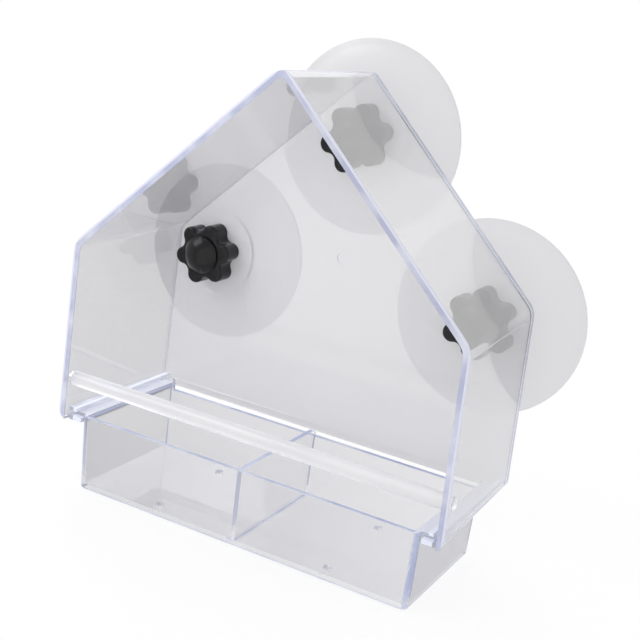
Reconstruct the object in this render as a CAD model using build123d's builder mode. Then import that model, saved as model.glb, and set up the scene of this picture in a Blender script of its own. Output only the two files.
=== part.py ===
from build123d import *
import os
from math import asin, atan2, cos, radians, sin, sqrt, tan

# Window bird feeder: a clear house open at the front and below, a tray that slides on ledges along the foot of
# its side walls, a perch bar across the front, and three suction cups held to the back panel by knobs.
# Millimetres. +Z is up, +Y points at the window, and the front is towards -Y. The origin is on the surface the
# tray stands on, in the middle of the feeder's width and of its whole depth.

# Seed tray
tray_height = 34  # underside to rim
tray_wall = 2.2
tray_floor = 2.4
tray_setback = 2  # front of the tray behind the front edge of the house
tray_back_gap = 3.8  # tray to back panel
tray_draft = 0.6  # how much each wall leans in towards the floor
tray_corner_radius = 3
tray_floor_radius = 1.5
back_wall_drop = 3.4  # the tray's back wall is lower than its rim
flange_width = 5.5
flange_thickness = 1.6
divider_thickness = 2
divider_nose_radius = 3.2
drain_radius = 2
tray_edge_round = 0.4
drain_spacing_x = 83
drain_from_front = 9
drain_from_back = 10.2

# House shell
house_width = 180  # across the eaves, at the front
house_depth = 75
eave_height = 80  # above the foot of the walls
ridge_height = 167  # where the roof slopes would meet without their rounding
wall_thickness = 3
wall_spread = 2  # how much wider each side is at its foot than at the eave
wall_draft = 2  # how much narrower each side is at the back
roof_draft = 1.3  # how much nearer each roof slope is at the back
ridge_radius = 6
eave_radius = 10
foot_radius = 5
rebate_height = 4  # the back panel is thinner along its foot
rebate_depth = 1
ledge_thickness = 2
ledge_setback = 3  # the ledges and rails start behind the front edge
channel_radius = 0.4  # inside corner between wall and ledge
ledge_gap = 1  # tray wall to ledge
rail_thickness = 1.5
rail_overlap = 2  # how far the upper rail reaches over the flange
slide_gap = 0.3  # above and below the flange
flange_side_gap = 0.5  # flange to side wall, where the channel is narrowest
gate_radius = 3
gate_depth = 0.4
gate_rise = 2.5  # above the eaves
front_edge_round = 0.4

# Perch bar
perch_radius = 3.3
perch_end_radius = 2.5
perch_setback = 5
perch_height = 18.6  # above the foot of the walls
perch_end_proud = 0.6
perch_fit = 0.1  # bar end to its hole, and shoulder to the wall
perch_edge_round = 0.4

# Stations: where the three cups and knobs sit on the back panel
side_station_inset = 23  # from the eaves, inwards
side_station_drop = 9.5  # below the eaves
top_station_drop = 32  # below the ridge

# Suction cups
cup_radius = 42
cup_depth = 8  # back panel to window
cup_seat_gap = 0.15  # back panel to hub
cup_rim_width = 3
cup_rim_thickness = 1.4
cup_hub_radius = 20
cup_hub_thickness = 2.4
cup_floor_thickness = 4.8
cup_hollow_radius = 22

# Studs
stud_radius = 3
stud_head_radius = 9
stud_head_thickness = 1.8
stud_head_cover = 1.2  # soft plastic between the panel and the stud's head
stud_hole_gap = 0.3
stud_bed_gap = 0.05  # stud to the soft plastic round it
stud_tip_chamfer = 0.6

# Knobs
knob_lobes = 6
knob_turns = {"left": 14, "right": 31, "top": 18}  # degrees from +X up, as photographed
knob_tip_radius = 14.4
knob_lobe_radius = 4
knob_valley_radius = 3.3
knob_thickness = 9.5
knob_front_round = 1.6
knob_wall = 2
knob_face_thickness = 2.6
knob_boss_radius = 6.6
knob_seat_gap = 0.3
dome_radius = 8.6
dome_height = 5
dome_step = 0.8  # short upright edge round the dome
insert_radius = 4.4
insert_length = 6.4
insert_bore_gap = 0.05

# One overrun for every cut that has to break through
overrun = 1

# Places that follow from the sizes above
overall_depth = house_depth + cup_depth
front_y = -overall_depth / 2
back_y = front_y + house_depth
panel_y = back_y - wall_thickness
half_width = house_width / 2
foot_half_width = half_width + wall_spread
ledge_top = tray_height - flange_thickness - slide_gap
foot_z = ledge_top - ledge_thickness
roof_angle = atan2(ridge_height - eave_height, half_width)
panel_draft_share = (house_depth - wall_thickness) / house_depth
channel_rise_share = (tray_height - foot_z) / eave_height

flange_half_width = (
    foot_half_width - wall_spread * channel_rise_share - wall_draft - wall_thickness - flange_side_gap
)
tray_half_width = flange_half_width - flange_width
ledge_half_gap = tray_half_width + ledge_gap
tray_front_y = front_y + tray_setback
tray_back_y = panel_y - tray_back_gap
tray_length = tray_back_y - tray_front_y
tray_middle_y = (tray_front_y + tray_back_y) / 2

side_station_x = half_width - side_station_inset
side_station_z = foot_z + eave_height - side_station_drop
stations = {
    "left": (-side_station_x, side_station_z),
    "right": (side_station_x, side_station_z),
    "top": (0, foot_z + ridge_height - top_station_drop),
}


def upright(y):
    """The upright plane at depth y: local x runs along X, local y along Z, and its normal points forward."""
    return Plane.XZ.offset(-y)


def house_outline(wall_inset, roof_inset, base, foot_corner):
    """The gabled outline, drawn in by the insets, with its base at the height given above the foot."""
    apex = ridge_height - roof_inset / cos(roof_angle)
    eave_x = half_width - wall_inset
    eave = apex - eave_x * tan(roof_angle)
    base_x = foot_half_width - wall_inset - wall_spread * base / eave_height
    corners = [(-base_x, base), (-eave_x, eave), (0, apex), (eave_x, eave), (base_x, base)]
    eave_corner = eave_radius - roof_inset
    radii = [foot_corner, eave_corner, ridge_radius - roof_inset, eave_corner, foot_corner]
    with BuildLine() as outline:
        FilletPolyline(*[(x, foot_z + z) for x, z in corners], radius=radii, close=True)
    return outline.edges()


# House shell: drafted outside less drafted inside, then the ledges, rails and holes
with BuildPart() as house_shell:
    with BuildSketch(upright(front_y)):
        make_face(house_outline(0, 0, 0, foot_radius))
    with BuildSketch(upright(back_y)):
        make_face(house_outline(wall_draft, roof_draft, 0, foot_radius))
    loft(ruled=True)
    fillet(house_shell.faces().sort_by(Axis.Y)[0].edges(), radius=front_edge_round)
    inner_wall_inset = wall_thickness + wall_draft * panel_draft_share
    inner_roof_inset = wall_thickness + roof_draft * panel_draft_share
    with BuildSketch(upright(front_y)):
        make_face(house_outline(wall_thickness, wall_thickness, ledge_thickness, channel_radius))
    with BuildSketch(upright(panel_y)):
        make_face(house_outline(inner_wall_inset, inner_roof_inset, ledge_thickness, channel_radius))
    loft(ruled=True, mode=Mode.SUBTRACT)
    # the slot between the ledges, which runs on as the rebate along the foot of the back panel
    with BuildSketch(upright(front_y)):
        with Locations((0, foot_z)):
            Rectangle(2 * ledge_half_gap, 2 * rebate_height)
    extrude(amount=-(house_depth - wall_thickness + rebate_depth), mode=Mode.SUBTRACT)
    # upper rails over the tray's flanges
    rail_inner_x = flange_half_width - rail_overlap
    rail_outer_x = foot_half_width - wall_draft - wall_thickness / 2
    with BuildSketch(upright(front_y)):
        with Locations((0, tray_height + slide_gap + rail_thickness / 2)):
            for side in (-1, 1):
                with Locations((side * (rail_inner_x + rail_outer_x) / 2, 0)):
                    Rectangle(rail_outer_x - rail_inner_x, rail_thickness)
    extrude(amount=-house_depth + wall_thickness / 2)
    rail_top = tray_height + slide_gap + rail_thickness
    clear_half_width = foot_half_width - wall_thickness - wall_spread * channel_rise_share
    with BuildSketch(upright(front_y)):
        with Locations((0, foot_z)):
            Rectangle(2 * clear_half_width, 2 * (rail_top - foot_z))
    extrude(amount=-ledge_setback, mode=Mode.SUBTRACT)
    # holes for the perch and the studs, and the gate mark left by moulding
    with BuildSketch(Plane.YZ):
        with Locations((front_y + perch_setback, foot_z + perch_height)):
            Circle(perch_end_radius + perch_fit)
    extrude(amount=foot_half_width + overrun, both=True, mode=Mode.SUBTRACT)
    with BuildSketch(upright(back_y + overrun)):
        with Locations(*stations.values()):
            Circle(stud_radius + stud_hole_gap)
    extrude(amount=wall_thickness + 2 * overrun, mode=Mode.SUBTRACT)
    with BuildSketch(upright(panel_y)):
        with Locations((0, foot_z + eave_height + gate_rise)):
            Circle(gate_radius)
    extrude(amount=-gate_depth, mode=Mode.SUBTRACT)

# Perch bar: shouldered, with its thinner ends through the side walls
perch_rise_share = perch_height / eave_height
perch_draft_share = perch_setback / house_depth
perch_wall_x = foot_half_width - wall_spread * perch_rise_share - wall_draft * perch_draft_share
perch_shoulder_x = perch_wall_x - wall_thickness - wall_draft * perch_radius / house_depth - perch_fit
perch_tip_x = perch_wall_x + perch_end_proud
with BuildPart() as perch_bar:
    with BuildSketch(Plane.YZ):
        with Locations((front_y + perch_setback, foot_z + perch_height)):
            Circle(perch_radius)
    extrude(amount=perch_shoulder_x, both=True)
    with BuildSketch(Plane.YZ):
        with Locations((front_y + perch_setback, foot_z + perch_height)):
            Circle(perch_end_radius)
    extrude(amount=perch_tip_x, both=True)
    ends = perch_bar.faces().filter_by(Axis.X).sort_by(Axis.X)
    fillet(ends[0].edges() + ends[-1].edges(), radius=perch_edge_round)

# Seed tray: a drafted box shelled out, flanges, divider with a rounded nose at the back, drain holes
with BuildPart() as seed_tray:
    with BuildSketch(Plane.XY):
        with Locations((0, tray_middle_y)):
            RectangleRounded(
                2 * (tray_half_width - tray_draft), tray_length - 2 * tray_draft, tray_corner_radius
            )
    with BuildSketch(Plane.XY.offset(tray_height)):
        with Locations((0, tray_middle_y)):
            RectangleRounded(2 * tray_half_width, tray_length, tray_corner_radius)
    loft(ruled=True)
    fillet(seed_tray.faces().sort_by(Axis.Z)[0].edges(), radius=tray_floor_radius)
    inner_corner_radius = tray_corner_radius - tray_wall
    with BuildSketch(Plane.XY.offset(tray_floor)):
        with Locations((0, tray_middle_y)):
            RectangleRounded(
                2 * (tray_half_width - tray_draft - tray_wall),
                tray_length - 2 * (tray_draft + tray_wall),
                inner_corner_radius,
            )
    with BuildSketch(Plane.XY.offset(tray_height)):
        with Locations((0, tray_middle_y)):
            RectangleRounded(
                2 * (tray_half_width - tray_wall), tray_length - 2 * tray_wall, inner_corner_radius
            )
    loft(ruled=True, mode=Mode.SUBTRACT)
    fillet(seed_tray.faces().sort_by(Axis.Z)[-1].edges(), radius=tray_edge_round)
    # flanges that ride on the ledges
    with BuildSketch(Plane.XY.offset(tray_height)):
        for side in (-1, 1):
            with Locations((side * (flange_half_width - flange_width / 2 - tray_wall / 4), tray_middle_y)):
                Rectangle(flange_width + tray_wall / 2, tray_length - 2 * tray_corner_radius)
    extrude(amount=-flange_thickness)
    # lower back wall between the corners
    with BuildSketch(upright(tray_back_y)):
        with Locations((0, tray_height)):
            Rectangle(2 * (tray_half_width - tray_corner_radius), 2 * back_wall_drop)
    extrude(amount=tray_wall + tray_draft, mode=Mode.SUBTRACT)
    # divider, level with the rim and rounded down to the back wall
    with BuildSketch(Plane.YZ.offset(-divider_thickness / 2)):
        with BuildLine():
            divider_back = tray_back_y - tray_wall / 2
            divider_front = tray_front_y + tray_wall / 2
            FilletPolyline(
                (divider_front, tray_floor / 2),
                (divider_back, tray_floor / 2),
                (divider_back, tray_height - back_wall_drop),
                (divider_back - tray_wall, tray_height),
                (divider_front, tray_height),
                radius=[0, 0, 0, divider_nose_radius, 0],
                close=True,
            )
        make_face()
    extrude(amount=divider_thickness)
    # drain holes
    with BuildSketch(Plane.XY):
        for side in (-1, 1):
            with Locations(
                (side * drain_spacing_x / 2, tray_front_y + drain_from_front),
                (side * drain_spacing_x / 2, tray_back_y - drain_from_back),
            ):
                Circle(drain_radius)
    extrude(amount=tray_floor, mode=Mode.SUBTRACT)


def cup_axis(x, z):
    """The line through a station, pointing at the window."""
    return Axis((x, back_y, z), (0, 1, 0))


def side_plane(x, y, z):
    """A level plane through a station: local x runs outwards along X, local y towards the window."""
    return Plane(origin=(x, y, z), x_dir=(1, 0, 0), z_dir=(0, 0, 1))


def stud_profile():
    """The stud's outline on one side of its axis, from its head in the cup to its tip in the knob."""
    head_back = stud_head_cover + stud_head_thickness
    tip = -(wall_thickness + knob_seat_gap + insert_length)
    with BuildLine() as outline:
        Polyline(
            (0, head_back),
            (stud_head_radius, head_back),
            (stud_head_radius, stud_head_cover),
            (stud_radius, stud_head_cover),
            (stud_radius, tip + stud_tip_chamfer),
            (stud_radius - stud_tip_chamfer, tip),
            (0, tip),
            close=True,
        )
    return outline.edges()


def cup_profile():
    """The cup's outline on one side of its axis: hub at the panel, thin skirt, flat rim on the window."""
    skirt_start = (cup_hub_radius, cup_hub_thickness)
    skirt_end = (cup_radius, cup_depth - cup_rim_thickness)
    floor_edge = (cup_hollow_radius, cup_floor_thickness)
    rim_inner = (cup_radius - cup_rim_width, cup_depth)
    with BuildLine() as outline:
        Polyline((0, cup_floor_thickness), (0, cup_seat_gap), (cup_hub_radius, cup_seat_gap), skirt_start)
        TangentArc(skirt_start, skirt_end, tangent=(1, 0))
        Polyline(skirt_end, (cup_radius, cup_depth), rim_inner)
        TangentArc(floor_edge, rim_inner, tangent=(1, 0))
        Line(floor_edge, (0, cup_floor_thickness))
    return outline.edges()


def dome_profile():
    """The dome's outline on one side of its axis: a short upright edge, then part of a sphere."""
    cap = dome_height - dome_step
    sphere = (dome_radius**2 + cap**2) / (2 * cap)
    half_turn = asin(dome_radius / sphere) / 2
    middle = (sphere * sin(half_turn), -dome_height + sphere - sphere * cos(half_turn))
    with BuildLine() as outline:
        Line((0, dome_step), (dome_radius, dome_step))
        Line((dome_radius, dome_step), (dome_radius, -dome_step))
        ThreePointArc((dome_radius, -dome_step), middle, (0, -dome_height))
        Line((0, -dome_height), (0, dome_step))
    return outline.edges()


def lobed_outline(inset):
    """The knob's outline: lobe arcs joined by hollow arcs, drawn in by the inset."""
    lobe = knob_lobe_radius - inset
    valley = knob_valley_radius + inset
    lobe_ring = knob_tip_radius - knob_lobe_radius
    half_step = 180 / knob_lobes
    half_chord = lobe_ring * sin(radians(half_step))
    valley_ring = lobe_ring * cos(radians(half_step)) + sqrt((lobe + valley) ** 2 - half_chord**2)
    with BuildLine() as outline:
        for k in range(knob_lobes):
            angle = 2 * half_step * k
            centre = Vector(lobe_ring, 0).rotate(Axis.Z, angle)
            before = Vector(valley_ring, 0).rotate(Axis.Z, angle - half_step)
            after = Vector(valley_ring, 0).rotate(Axis.Z, angle + half_step)
            start = centre + (before - centre).normalized() * lobe
            end = centre + (after - centre).normalized() * lobe
            tip = Vector(lobe_ring + lobe, 0).rotate(Axis.Z, angle)
            bottom = Vector(valley_ring - valley, 0).rotate(Axis.Z, angle + half_step)
            following = Vector(lobe_ring, 0).rotate(Axis.Z, angle + 2 * half_step)
            ThreePointArc(start, tip, end)
            ThreePointArc(end, bottom, following + (after - following).normalized() * lobe)
    return outline.edges()


cups = {}
studs = {}
knobs = {}
inserts = {}
for name, (x, z) in stations.items():
    # Stud: flat head bedded in the cup's hub, shank through the panel and into the knob
    with BuildPart() as stud:
        with BuildSketch(side_plane(x, back_y, z)):
            make_face(stud_profile())
        revolve(axis=cup_axis(x, z))
    studs[name] = stud

    # Suction cup, with the room that the stud's head and neck take
    with BuildPart() as cup:
        with BuildSketch(side_plane(x, back_y, z)):
            make_face(cup_profile())
        revolve(axis=cup_axis(x, z))
        with BuildSketch(upright(back_y + stud_head_cover + stud_head_thickness + stud_bed_gap)):
            with Locations((x, z)):
                Circle(stud_head_radius + stud_bed_gap)
        extrude(amount=stud_head_thickness + 2 * stud_bed_gap, mode=Mode.SUBTRACT)
        with BuildSketch(upright(back_y + stud_head_cover)):
            with Locations((x, z)):
                Circle(stud_radius + stud_bed_gap)
        extrude(amount=stud_head_cover, mode=Mode.SUBTRACT)
    cups[name] = cup

    # Knob: lobed, hollow behind round its boss, with a dome on its face
    knob_back_y = panel_y - knob_seat_gap
    knob_face_y = knob_back_y - knob_thickness
    turn = radians(knob_turns[name])
    knob_plane = Plane(origin=(x, knob_back_y, z), x_dir=(cos(turn), 0, sin(turn)), z_dir=(0, -1, 0))
    with BuildPart() as knob:
        with BuildSketch(knob_plane):
            make_face(lobed_outline(0))
        extrude(amount=knob_thickness)
        fillet(knob.faces().sort_by(Axis.Y)[0].edges(), radius=knob_front_round)
        with BuildSketch(knob_plane):
            make_face(lobed_outline(knob_wall))
            Circle(knob_boss_radius, mode=Mode.SUBTRACT)
        extrude(amount=knob_thickness - knob_face_thickness, mode=Mode.SUBTRACT)
        with BuildSketch(upright(knob_back_y)):
            with Locations((x, z)):
                Circle(insert_radius)
        extrude(amount=insert_length, mode=Mode.SUBTRACT)
        with BuildSketch(side_plane(x, knob_face_y, z)):
            make_face(dome_profile())
        revolve(axis=cup_axis(x, z))
    knobs[name] = knob

    # Threaded insert in the knob's boss
    with BuildPart() as insert:
        with BuildSketch(upright(knob_back_y)):
            with Locations((x, z)):
                Circle(insert_radius)
                Circle(stud_radius + insert_bore_gap, mode=Mode.SUBTRACT)
        extrude(amount=insert_length)
    inserts[name] = insert


# Write every piece
pieces = {"house_shell": house_shell, "perch_bar": perch_bar, "seed_tray": seed_tray}
for name in stations:
    pieces["suction_cup_" + name] = cups[name]
    pieces["cup_stud_" + name] = studs[name]
    pieces["knob_" + name] = knobs[name]
    pieces["knob_insert_" + name] = inserts[name]
os.makedirs("parts", exist_ok=True)
for label, piece in pieces.items():
    piece.part.label = label
    export_step(piece.part, "parts/" + label + ".step")
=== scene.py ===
import bpy
from math import radians
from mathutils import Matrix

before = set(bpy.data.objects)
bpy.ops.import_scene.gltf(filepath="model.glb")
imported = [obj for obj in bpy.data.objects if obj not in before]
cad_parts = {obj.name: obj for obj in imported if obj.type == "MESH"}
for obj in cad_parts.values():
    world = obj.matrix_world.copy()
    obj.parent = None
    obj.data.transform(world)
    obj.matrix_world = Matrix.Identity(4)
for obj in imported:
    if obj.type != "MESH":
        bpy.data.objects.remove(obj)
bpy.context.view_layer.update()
bpy.ops.object.select_all(action="DESELECT")
print("frame loaded:", len(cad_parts), "nodes")


# helpers for materials, in which a source is a node with the name or number of its output
def newMaterial(name):
    material = bpy.data.materials.new(name)
    material.use_nodes = True
    tree = material.node_tree
    tree.nodes.clear()
    return material, tree, tree.nodes.new("ShaderNodeOutputMaterial")


def addNode(tree, kind, values=None, **settings):
    node = tree.nodes.new(kind)
    for key, value in settings.items():
        setattr(node, key, value)
    for key, value in (values or {}).items():
        node.inputs[key].default_value = value
    return node


def join(tree, source, node, socket):
    tree.links.new(source[0].outputs[source[1]], node.inputs[socket])


def combine(tree, operation, first, *others):
    # one source made of two or more
    for other in others:
        node = addNode(tree, "ShaderNodeMath", operation=operation)
        join(tree, first, node, 0)
        join(tree, other, node, 1)
        first = node, "Value"
    return first


def both(tree, *masks):
    return combine(tree, "MULTIPLY", *masks)


def either(tree, *masks):
    return combine(tree, "MAXIMUM", *masks)


def step(tree, source, start, end, low=0.0, high=1.0):
    # runs from low to high while the source runs from start to end
    node = addNode(tree, "ShaderNodeMapRange", {"From Min": start, "From Max": end, "To Min": low, "To Max": high})
    join(tree, source, node, "Value")
    return node, "Result"


def sizeOf(tree, source):
    # the source without its sign
    node = addNode(tree, "ShaderNodeMath", operation="ABSOLUTE")
    join(tree, source, node, 0)
    return node, "Value"


def splitAxes(tree, source):
    node = addNode(tree, "ShaderNodeSeparateXYZ")
    join(tree, source, node, "Vector")
    return {axis: (node, axis) for axis in "XYZ"}


def objectPlace(tree):
    return addNode(tree, "ShaderNodeTexCoord"), "Object"


def facing(tree, axis, turn):
    # from 0 to 1 as faces turn towards the axis, from inside and outside the plastic alike
    axes = splitAxes(tree, (addNode(tree, "ShaderNodeNewGeometry"), "True Normal"))
    return step(tree, sizeOf(tree, axes[axis]), *turn)


def noise(tree, place, scale, detail, roughness=0.5):
    node = addNode(tree, "ShaderNodeTexNoise", {"Scale": scale, "Detail": detail, "Roughness": roughness})
    join(tree, place, node, "Vector")
    return node, "Fac"


def bump(tree, height, strength, distance):
    node = addNode(tree, "ShaderNodeBump", {"Strength": strength, "Distance": distance})
    join(tree, height, node, "Height")
    return node, "Normal"


def mixColour(tree, factor, first, second):
    # first and second are colours or sources
    node = addNode(tree, "ShaderNodeMix", data_type="RGBA")
    join(tree, factor, node, 0)
    for socket, value in ((6, first), (7, second)):
        if isinstance(value[0], float):
            node.inputs[socket].default_value = value + (1.0,)
        else:
            join(tree, value, node, socket)
    return node, 2


def mixShaders(tree, factor, first, second, output):
    node = addNode(tree, "ShaderNodeMixShader")
    join(tree, factor, node, "Fac")
    join(tree, first, node, 1)
    join(tree, second, node, 2)
    join(tree, (node, "Shader"), output, "Surface")


def seenDirectly(tree):
    # 1 for the rays that see a surface or the world straight, in a gloss or through clear plastic
    ray = addNode(tree, "ShaderNodeLightPath")
    return either(tree, (ray, "Is Camera Ray"), (ray, "Is Transmission Ray"), (ray, "Is Glossy Ray"))


def dress(names, material):
    # give the CAD nodes their finish
    for name in names:
        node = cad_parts[name]
        node.data.materials.clear()
        node.data.materials.append(material)


# what the clear mouldings share; lengths here and below are in metres
mouldingLook = {
    "rippleDetail": 2.0, "rippleDepth": 0.0004,
    "smudgeDetail": 4.0, "smudgeGrain": 0.6, "smudgeSpan": (0.25, 0.75),
    "streakDetail": 3.0, "streakSpan": (0.4, 0.65),
    "caught": (0.88, 0.91, 1.0), "caughtDepth": (2.0, 3.0),
    "levelTurn": (0.55, 0.75), "seam": 0.0002,
}
seam = mouldingLook["seam"]


def edgeHighlightStreaks(tree, place, look):
    # the edges' colour, with painted highlights as lighter streaks in places
    cloud = noise(tree, place, look["edgeScale"], mouldingLook["streakDetail"])
    return mixColour(tree, step(tree, cloud, *mouldingLook["streakSpan"]), look["edge"], look["edgeHighlight"])


def clearPlastic(name, look, paint):
    # clear moulding: faint ripple and smudges, and cut edges that glow pale where paint says so
    material, tree, output = newMaterial(name)
    place = objectPlace(tree)
    colour, clear, edge = paint(tree, place, splitAxes(tree, place), look)
    ripple = noise(tree, place, look["rippleScale"], mouldingLook["rippleDetail"])
    smudge = noise(tree, place, look["smudgeScale"], mouldingLook["smudgeDetail"], mouldingLook["smudgeGrain"])
    rough = step(tree, smudge, *mouldingLook["smudgeSpan"], *look["roughness"])
    inside = addNode(tree, "ShaderNodeNewGeometry"), "Backfacing"
    # the haze is on the face that light goes in by
    if edge:
        clear = combine(tree, "MINIMUM", clear, step(tree, edge, 0.0, 1.0, 1.0, look["edgeClear"]))
        rough = either(tree, rough, step(tree, edge, 0.0, 1.0, 0.0, look["edgeRoughness"]))
        clear = either(tree, clear, inside)
    else:
        clear = step(tree, inside, 0.0, 1.0, look["clear"], 1.0)
    colour = mixColour(tree, inside, colour, (1.0, 1.0, 1.0))
    # light caught between two faces ends in a pale blue, where the renderer would end it in black
    ray = addNode(tree, "ShaderNodeLightPath")
    caught = both(tree, inside, step(tree, (ray, "Glossy Depth"), *mouldingLook["caughtDepth"]))
    colour = mixColour(tree, caught, colour, mouldingLook["caught"])
    clear = both(tree, clear, step(tree, caught, 0.0, 1.0, 1.0, 0.0))
    plastic = addNode(tree, "ShaderNodeBsdfPrincipled", {"IOR": look["ior"]})
    join(tree, colour, plastic, "Base Color")
    join(tree, clear, plastic, "Transmission Weight")
    join(tree, rough, plastic, "Roughness")
    join(tree, bump(tree, ripple, look["rippleStrength"], mouldingLook["rippleDepth"]), plastic, "Normal")
    # the shadow of clear plastic is faint
    shade = addNode(tree, "ShaderNodeBsdfTransparent", {"Color": look["shadowTint"] + (1.0,)})
    mixShaders(tree, (ray, "Is Shadow Ray"), (plastic, "BSDF"), (shade, "BSDF"), output)
    return material


# house shell: hazy panel, clearer walls and roof toned side by side with painted light and shade, and a pale
# violet front rim, back corner and ledges, where the plastic's tint seen edge-on is mixed with painted light
shellLook = {
    "panel": (0.745, 0.74, 0.76), "panelFace": 0.0303, "panelClear": 0.33,
    "leftWallShading": (0.61, 0.605, 0.63), "leftRoofShading": (0.53, 0.525, 0.555),
    "rightWallShading": (0.68, 0.675, 0.695), "rightRoofShading": (0.88, 0.875, 0.89),
    "eaves": 0.1101, "sideBlend": 0.002, "sideClear": 0.72,
    "edge": (0.46, 0.48, 0.64), "edgeHighlight": (0.68, 0.70, 0.80), "edgeScale": 70.0,
    "edgeClear": 0.15, "edgeRoughness": 0.3, "frontEdge": -0.0411, "frontBlend": 0.0001,
    "brinkHighlight": (0.74, 0.75, 0.86), "brinkHighlightWidth": 0.0009,
    "corner": (0.86, 0.86, 0.92), "cornerStart": 0.0296, "cornerBlend": 0.0005, "cornerLightEnd": 0.0312,
    "cornerTurn": (0.7, 0.5),
    "ledge": (0.84, 0.87, 0.98), "ledgeTop": 0.0365, "ledgeBack": 0.0293, "wallFace": 0.0865,
    "ior": 1.57, "roughness": (0.0, 0.03), "shadowTint": (0.9, 0.9, 0.91),
    "rippleScale": 45.0, "rippleStrength": 0.06, "smudgeScale": 30.0,
}
# wall and roof slope on one side: the way each one faces and its distance from the origin
outlinePlanes = (((1.0, 0.0, 0.025), 0.09275), ((0.695, 0.0, 0.719), 0.1417))


def shellOutline(tree, place, width):
    # 1 within a width of the shell's outline, seen from the front
    folded = addNode(tree, "ShaderNodeVectorMath", operation="ABSOLUTE")
    join(tree, place, folded, 0)
    bands = []
    for direction, reach in outlinePlanes:
        along = addNode(tree, "ShaderNodeVectorMath", {1: direction}, operation="DOT_PRODUCT")
        join(tree, (folded, "Vector"), along, 0)
        bands.append(step(tree, (along, "Value"), reach - width - seam, reach - width))
    return either(tree, *bands)


def paintShell(tree, place, axes, look):
    # painted light and shade: each wall and each roof slope has its own tone, darkest on the left roof and
    # lightest on the right roof
    roof = step(tree, axes["Z"], look["eaves"] - look["sideBlend"], look["eaves"])
    left = mixColour(tree, roof, look["leftWallShading"], look["leftRoofShading"])
    right = mixColour(tree, roof, look["rightWallShading"], look["rightRoofShading"])
    sideShading = mixColour(tree, step(tree, axes["X"], -look["sideBlend"], look["sideBlend"]), left, right)
    behind = step(tree, axes["Y"], look["panelFace"] - seam, look["panelFace"])
    body = mixColour(tree, behind, sideShading, look["panel"])
    clear = step(tree, behind, 0.0, 1.0, look["sideClear"], look["panelClear"])
    rim = step(tree, axes["Y"], look["frontEdge"] + look["frontBlend"], look["frontEdge"])
    last = step(tree, axes["Y"], look["cornerStart"], look["cornerStart"] + look["cornerBlend"])
    corner = both(tree, last, facing(tree, "Y", look["cornerTurn"]))
    # ledges and rails stand low inside the walls, in front of the panel
    low = step(tree, axes["Z"], look["ledgeTop"] + seam, look["ledgeTop"])
    inward = both(tree, step(tree, sizeOf(tree, axes["X"]), look["wallFace"], look["wallFace"] - seam),
                  step(tree, axes["Y"], look["ledgeBack"], look["ledgeBack"] - seam))
    ledge = both(tree, either(tree, facing(tree, "Z", mouldingLook["levelTurn"]), inward), low)
    edge = either(tree, rim, corner, ledge)
    # painted highlight along the outline of the rim, and painted light in the front part of the back corner and on
    # the ledges
    brinkHighlight = both(tree, rim, shellOutline(tree, place, look["brinkHighlightWidth"]))
    before = step(tree, axes["Y"], look["cornerLightEnd"], look["cornerLightEnd"] - seam)
    paint = mixColour(tree, brinkHighlight, edgeHighlightStreaks(tree, place, look), look["brinkHighlight"])
    # painted light: a pale colour on the front part of the back corner
    paint = mixColour(tree, both(tree, corner, before), paint, look["corner"])
    # painted light: a pale colour on the ledges' inward faces, which lie in shade
    paint = mixColour(tree, both(tree, inward, low), paint, look["ledge"])
    return mixColour(tree, edge, body, paint), clear, edge


dress(["house_shell"], clearPlastic("clearShell", shellLook, paintShell))

# perch bar: the same plastic with a frosted skin
perchLook = {
    "body": (0.86, 0.855, 0.865), "cloudScale": 25.0, "cloudDetail": 2.0, "cloudShade": 0.97, "clear": 0.56,
    "ior": 1.5, "roughness": (0.28, 0.36), "shadowTint": (0.92, 0.92, 0.93),
    "rippleScale": 90.0, "rippleStrength": 0.05, "smudgeScale": 40.0,
}


def paintEven(tree, place, axes, look):
    # one colour with a slight cloudiness
    cloud = noise(tree, place, look["cloudScale"], look["cloudDetail"])
    deeper = tuple(look["cloudShade"] * c for c in look["body"])
    return mixColour(tree, cloud, look["body"], deeper), None, None


dress(["perch_bar"], clearPlastic("clearBar", perchLook, paintEven))

# seed tray: the same plastic with painted shading, lighter from left to right and darker on its right end wall,
# and bluer along its rim, beside its flanges and in the corners of its walls, where the plastic's tint seen
# edge-on is mixed with painted light
trayLook = {
    "leftBodyShading": (0.62, 0.615, 0.64), "rightBodyShading": (0.78, 0.775, 0.795), "bodyShadingSpan": 0.08, "bodyClear": 0.72,
    "sideBodyShade": (0.47, 0.465, 0.5), "sideShadeSpan": (0.07, 0.075), "sideTurn": (0.8, 0.95),
    "edge": (0.42, 0.47, 0.68), "edgeHighlight": (0.66, 0.70, 0.84), "edgeScale": 50.0,
    "edgeClear": 0.3, "edgeRoughness": 0.3,
    "rimFoot": 0.0280, "foot": 0.0012, "footBlend": 0.0004, "footShare": 0.6,
    "cornerTurn": (0.97, 0.9), "uprightTurn": (0.3, 0.2),
    "flange": (0.78, 0.79, 0.87), "flangeSpan": (0.0787, 0.0791), "flangeFoot": 0.0324,
    "band": (0.68, 0.74, 0.95), "bandSpan": (0.0767, 0.0772),
    "divider": (0.93, 0.925, 0.94), "dividerClear": 0.93, "dividerSpan": (0.0023, 0.0019),
    "floorTop": 0.0024, "lineHeight": 0.0007,
    "ior": 1.5, "roughness": (0.0, 0.03), "shadowTint": (0.9, 0.9, 0.92),
    "rippleScale": 60.0, "rippleStrength": 0.06, "smudgeScale": 35.0,
}


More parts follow.
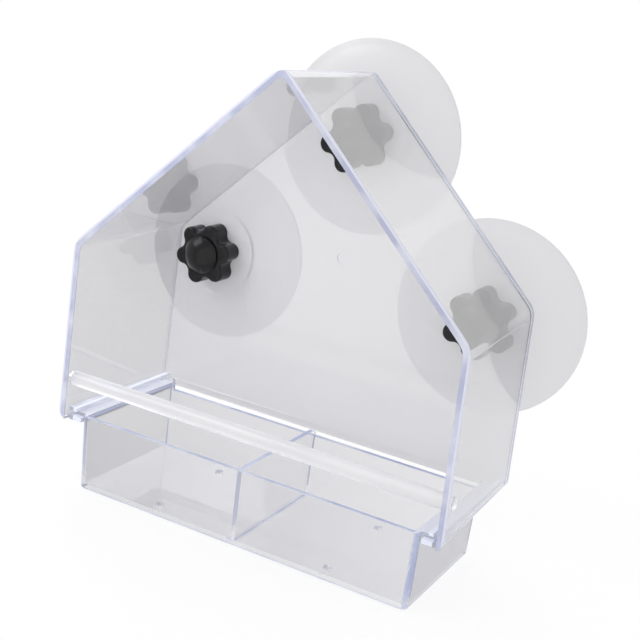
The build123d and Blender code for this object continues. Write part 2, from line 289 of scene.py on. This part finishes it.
def paintTray(tree, place, axes, look):
    half = sizeOf(tree, axes["X"])
    sideways = facing(tree, "X", look["sideTurn"])
    rim = both(tree, facing(tree, "Z", mouldingLook["levelTurn"]),
               step(tree, axes["Z"], look["rimFoot"] - seam, look["rimFoot"]))
    foot = step(tree, axes["Z"], look["foot"] + look["footBlend"], look["foot"], 0.0, look["footShare"])
    # upright corners turn neither to the front nor to the side
    corner = both(tree, facing(tree, "X", look["cornerTurn"]), facing(tree, "Y", look["cornerTurn"]),
                  facing(tree, "Z", look["uprightTurn"]))
    # beside the flanges the walls are blue too, and on top the flanges are paler, a painted light
    band = both(tree, sideways, step(tree, half, *look["bandSpan"]),
                step(tree, axes["Z"], look["flangeFoot"] - seam, look["flangeFoot"]))
    flange = both(tree, rim, step(tree, half, *look["flangeSpan"]))
    # the divider is clearer than the walls, with a blue line along its foot
    divider = both(tree, step(tree, half, *look["dividerSpan"]),
                   step(tree, axes["Z"], look["floorTop"] - seam, look["floorTop"]))
    lineTop = look["floorTop"] + look["lineHeight"]
    line = both(tree, divider, step(tree, axes["Z"], lineTop + seam, lineTop))
    middle = both(tree, divider, sideways)
    clear = step(tree, middle, 0.0, 1.0, look["bodyClear"], look["dividerClear"])
    edge = either(tree, rim, foot, corner, band, line)
    # painted shading: lighter from left to right along the tray, and darker on the right end wall
    lengthShading = step(tree, axes["X"], -look["bodyShadingSpan"], look["bodyShadingSpan"])
    end = both(tree, sideways, step(tree, axes["X"], *look["sideShadeSpan"]))
    body = mixColour(tree, lengthShading, look["leftBodyShading"], look["rightBodyShading"])
    body = mixColour(tree, end, body, look["sideBodyShade"])
    body = mixColour(tree, middle, body, look["divider"])
    paint = mixColour(tree, flange, edgeHighlightStreaks(tree, place, look), look["flange"])
    paint = mixColour(tree, band, paint, look["band"])
    return mixColour(tree, edge, body, paint), clear, edge


dress(["seed_tray"], clearPlastic("clearTray", trayLook, paintTray))

# suction cups: soft milky plastic
cupLook = {
    "body": (0.6, 0.595, 0.62), "cloudScale": 25.0, "cloudDetail": 2.0, "cloudShade": 0.97, "clear": 0.85,
    "edge": (0.9, 0.9, 0.91), "edgeClear": 0.3, "edgeRoughness": 0.4,
    "rimSpan": (0.0403, 0.0406), "rimTurn": (0.6, 0.4),
    "ior": 1.42, "roughness": (0.29, 0.34), "shadowTint": (0.85, 0.85, 0.86),
    "rippleScale": 40.0, "rippleStrength": 0.0, "smudgeScale": 12.0,
}


def paintCup(tree, place, axes, look):
    # milky, with a paler edge round the rim as a painted highlight
    colour = paintEven(tree, place, axes, look)[0]
    edge = both(tree, step(tree, axes["Y"], *look["rimSpan"]), facing(tree, "Y", look["rimTurn"]))
    clear = step(tree, edge, 0.0, 1.0, look["clear"], look["edgeClear"])
    return mixColour(tree, edge, colour, look["edge"]), clear, edge


dress(["suction_cup_left", "suction_cup_right", "suction_cup_top"], clearPlastic("softCup", cupLook, paintCup))

# what the opaque finishes share
solidLook = {"smudgeDetail": 3.0, "grainDetail": 2.0, "grainStrength": 0.05, "grainDepth": 0.0001}


def solidFinish(name, look):
    # opaque finish with smudges and a fine grain
    material, tree, output = newMaterial(name)
    place = objectPlace(tree)
    smudge = noise(tree, place, look["smudgeScale"], solidLook["smudgeDetail"])
    grain = noise(tree, place, look["grainScale"], solidLook["grainDetail"])
    body = addNode(tree, "ShaderNodeBsdfPrincipled", {
        "Base Color": look["colour"] + (1.0,), "Metallic": look["metallic"], "IOR": look["ior"]})
    join(tree, step(tree, smudge, 0.0, 1.0, *look["roughness"]), body, "Roughness")
    join(tree, bump(tree, grain, solidLook["grainStrength"], solidLook["grainDepth"]), body, "Normal")
    join(tree, (body, "BSDF"), output, "Surface")
    return material


# knobs: glossy black moulding
knobLook = {
    "colour": (0.005, 0.005, 0.006), "metallic": 0.0, "ior": 1.4, "roughness": (0.12, 0.24),
    "smudgeScale": 160.0, "grainScale": 900.0,
}
dress(["knob_left", "knob_right", "knob_top"], solidFinish("blackKnob", knobLook))

# studs: plated steel
studLook = {
    "colour": (0.66, 0.66, 0.68), "metallic": 1.0, "ior": 1.5, "roughness": (0.2, 0.4),
    "smudgeScale": 200.0, "grainScale": 700.0,
}
dress(["cup_stud_left", "cup_stud_right", "cup_stud_top"], solidFinish("platedStud", studLook))

# inserts: turned brass
insertLook = {
    "colour": (0.72, 0.5, 0.22), "metallic": 1.0, "ior": 1.5, "roughness": (0.25, 0.45),
    "smudgeScale": 200.0, "grainScale": 700.0,
}
dress(["knob_insert_left", "knob_insert_right", "knob_insert_top"], solidFinish("brassInsert", insertLook))
print("finishes done")

# floor: white to the eye away from the feeder, with a soft shadow beneath it
floorLook = {"size": 8.0, "colour": (0.86, 0.86, 0.86), "nearLift": 0.75, "near": 0.10, "far": 0.32, "glow": 1.0}
bpy.ops.mesh.primitive_plane_add(size=floorLook["size"], location=(0, 0, 0))
floor = bpy.context.object
floor.name = "floor"
floorPaint, tree, output = newMaterial("floorWhite")
matt = addNode(tree, "ShaderNodeBsdfDiffuse", {"Color": floorLook["colour"] + (1.0,)})
glow = addNode(tree, "ShaderNodeEmission", {"Strength": floorLook["glow"]})
reach = addNode(tree, "ShaderNodeVectorMath", operation="LENGTH")
join(tree, objectPlace(tree), reach, "Vector")
lift = step(tree, (reach, "Value"), floorLook["near"], floorLook["far"], floorLook["nearLift"], 1.0)
mixShaders(tree, both(tree, seenDirectly(tree), lift), (matt, "BSDF"), (glow, "Emission"), output)
floor.data.materials.append(floorPaint)

# world: soft light, and white where the camera, a gloss or clear plastic looks at it
worldLook = {"light": 0.9, "seen": 1.0}
world = bpy.data.worlds.new("studio")
world.use_nodes = True
bpy.context.scene.world = world
tree = world.node_tree
tree.nodes.clear()
output = addNode(tree, "ShaderNodeOutputWorld")
soft, white = (addNode(tree, "ShaderNodeBackground", {"Color": (1, 1, 1, 1), "Strength": worldLook[part]})
               for part in ("light", "seen"))
mixShaders(tree, seenDirectly(tree), (soft, "Background"), (white, "Background"), output)

# lamps, turned to a point above the origin
aimHeight = 0.1
lamps = {
    "keyLamp": {"place": (-1.0, -0.65, 1.1), "size": 0.9, "power": 9.5},
    "rearLamp": {"place": (-0.9, 0.9, 0.8), "size": 0.8, "power": 5.0},
}
for name, lamp in lamps.items():
    bpy.ops.object.light_add(type="AREA", location=lamp["place"])
    light = bpy.context.object
    light.name = name
    light.data.size = lamp["size"]
    light.data.energy = lamp["power"]
    aim = -light.location
    aim.z += aimHeight
    light.rotation_euler = aim.to_track_quat("-Z", "Y").to_euler()

# camera at the photograph's angle, with its turn in degrees and its lens in millimetres
cameraLook = {
    "place": (0.22338, -0.42988, 0.23140), "turn": (73.7346, -7.2721, 28.7304), "lens": 67.514, "sensor": 36.0,
    "nearest": 0.01,
}
bpy.ops.object.camera_add(location=cameraLook["place"], rotation=[radians(a) for a in cameraLook["turn"]])
camera = bpy.context.object
camera.data.lens = cameraLook["lens"]
camera.data.sensor_width = cameraLook["sensor"]
camera.data.clip_start = cameraLook["nearest"]
bpy.context.scene.camera = camera
bpy.context.scene.view_settings.view_transform = "Standard"
print("stage, lamps and camera done")
